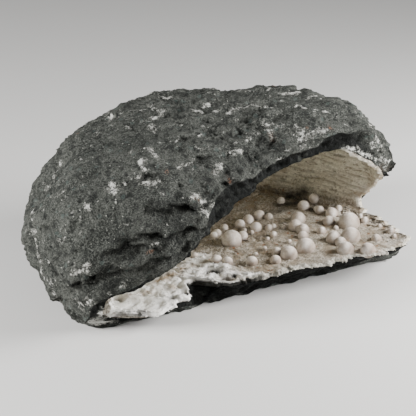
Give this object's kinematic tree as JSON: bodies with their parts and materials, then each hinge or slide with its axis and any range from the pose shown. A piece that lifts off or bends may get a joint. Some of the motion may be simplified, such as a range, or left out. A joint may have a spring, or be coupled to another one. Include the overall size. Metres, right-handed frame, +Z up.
{
  "type": "okenite puffballs in a basalt vug",
  "caption": "Rounded basalt nodule broken open at the front and right, its hollow lined with a pale sugary crust that carries round white okenite puffballs.",
  "frame": {"origin": "middle of the nodule's outline, on the surface it stands on", "axes": "+Z up, +X along the nodule's length, -Y towards the broken open side"},
  "size_m": [0.2212, 0.1416, 0.0999],
  "materials": {
    "basalt": "dark grey-green weathered basalt, matte, pitted and speckled, darker on the fresh break",
    "okenite": "matte sugary cream crust with velvety off-white puffballs and rusty-brown specks"
  },
  "bodies": {
    "root": {"basalt_shell": "basalt", "okenite_crust": "okenite"}
  },
  "joints": []
}
